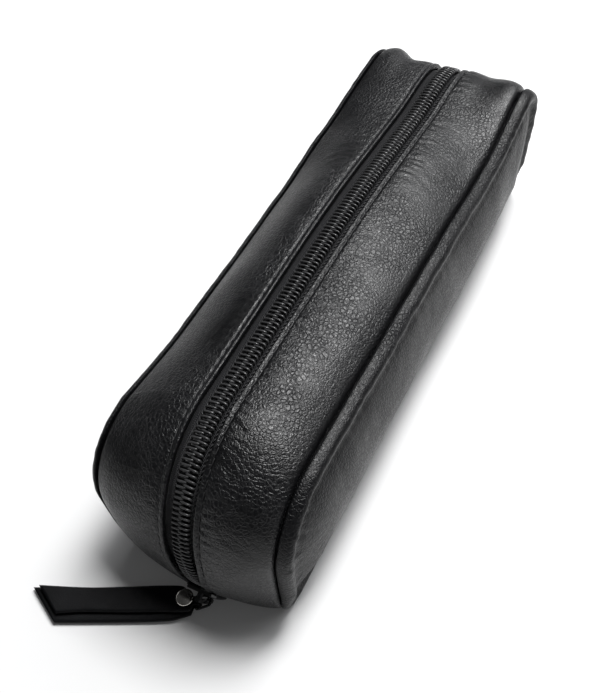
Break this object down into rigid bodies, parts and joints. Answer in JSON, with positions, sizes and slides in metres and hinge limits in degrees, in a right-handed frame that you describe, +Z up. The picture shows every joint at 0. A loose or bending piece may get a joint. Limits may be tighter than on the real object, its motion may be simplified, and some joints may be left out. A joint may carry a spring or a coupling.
{
  "type": "zipped leather bag",
  "caption": "Soft boxy leather bag lying on its base, with piped side panels, a coil zip along the top and down both ends, and a folded leather pull riveted to the slider.",
  "frame": {"origin": "middle of the base on the surface that the bag stands on, with the pull left out", "axes": "+X along the bag away from the slider, +Y across it from the front panel to the back panel, +Z up"},
  "size_m": [0.224, 0.079, 0.0581],
  "materials": {
    "leather": "soft pebbled grain, low sheen",
    "strap": "smooth grain with raw cut edges",
    "zip": "woven nylon tape and nylon coil",
    "lining": "plain woven",
    "foam": "closed-cell padding",
    "board": "plain",
    "nickel": "polished nickel plate",
    "enamel": "black enamel"
  },
  "bodies": {
    "bag": {"front_panel": "leather", "back_panel": "leather", "front_piping": "leather", "back_piping": "leather", "front_piping_cord": "board", "back_piping_cord": "board", "gusset_front": "leather", "gusset_back": "leather", "base_leather": "leather", "base_board": "board", "front_foam": "foam", "back_foam": "foam", "lining_front": "lining", "lining_back": "lining", "lining_base": "lining", "lining_gusset_front": "lining", "lining_gusset_back": "lining", "zip_tape_front": "zip", "zip_tape_back": "zip", "zip_coil_front": "zip", "zip_coil_back": "zip", "top_stop_front": "nickel", "top_stop_back": "nickel", "bottom_stop": "nickel"},
    "slider": {"slider": "enamel"},
    "link": {"pull_link": "enamel"},
    "pull": {"pull_strap": "strap", "rivet_cap": "nickel", "rivet_back": "nickel"}
  },
  "joints": [
    {"name": "slider_travel", "type": "hinge", "parent": "bag", "child": "slider", "pos_m": [-0.0645, -0.00295, 0.02112], "axis": [0, 0.9966, -0.0819], "range_deg": [0, 115], "deforming": ["zip_coil_front", "zip_coil_back", "zip_tape_front", "zip_tape_back"]},
    {"name": "link_swing", "type": "hinge", "parent": "slider", "child": "link", "pos_m": [-0.10005, -0.00443, 0.0031], "axis": [0, 0, 1], "range_deg": [0, 100]},
    {"name": "pull_lift", "type": "hinge", "parent": "link", "child": "pull", "pos_m": [-0.10132, -0.00177, 0.0022], "axis": [0.9024, 0.431, 0], "range_deg": [0, 25]}
  ]
}
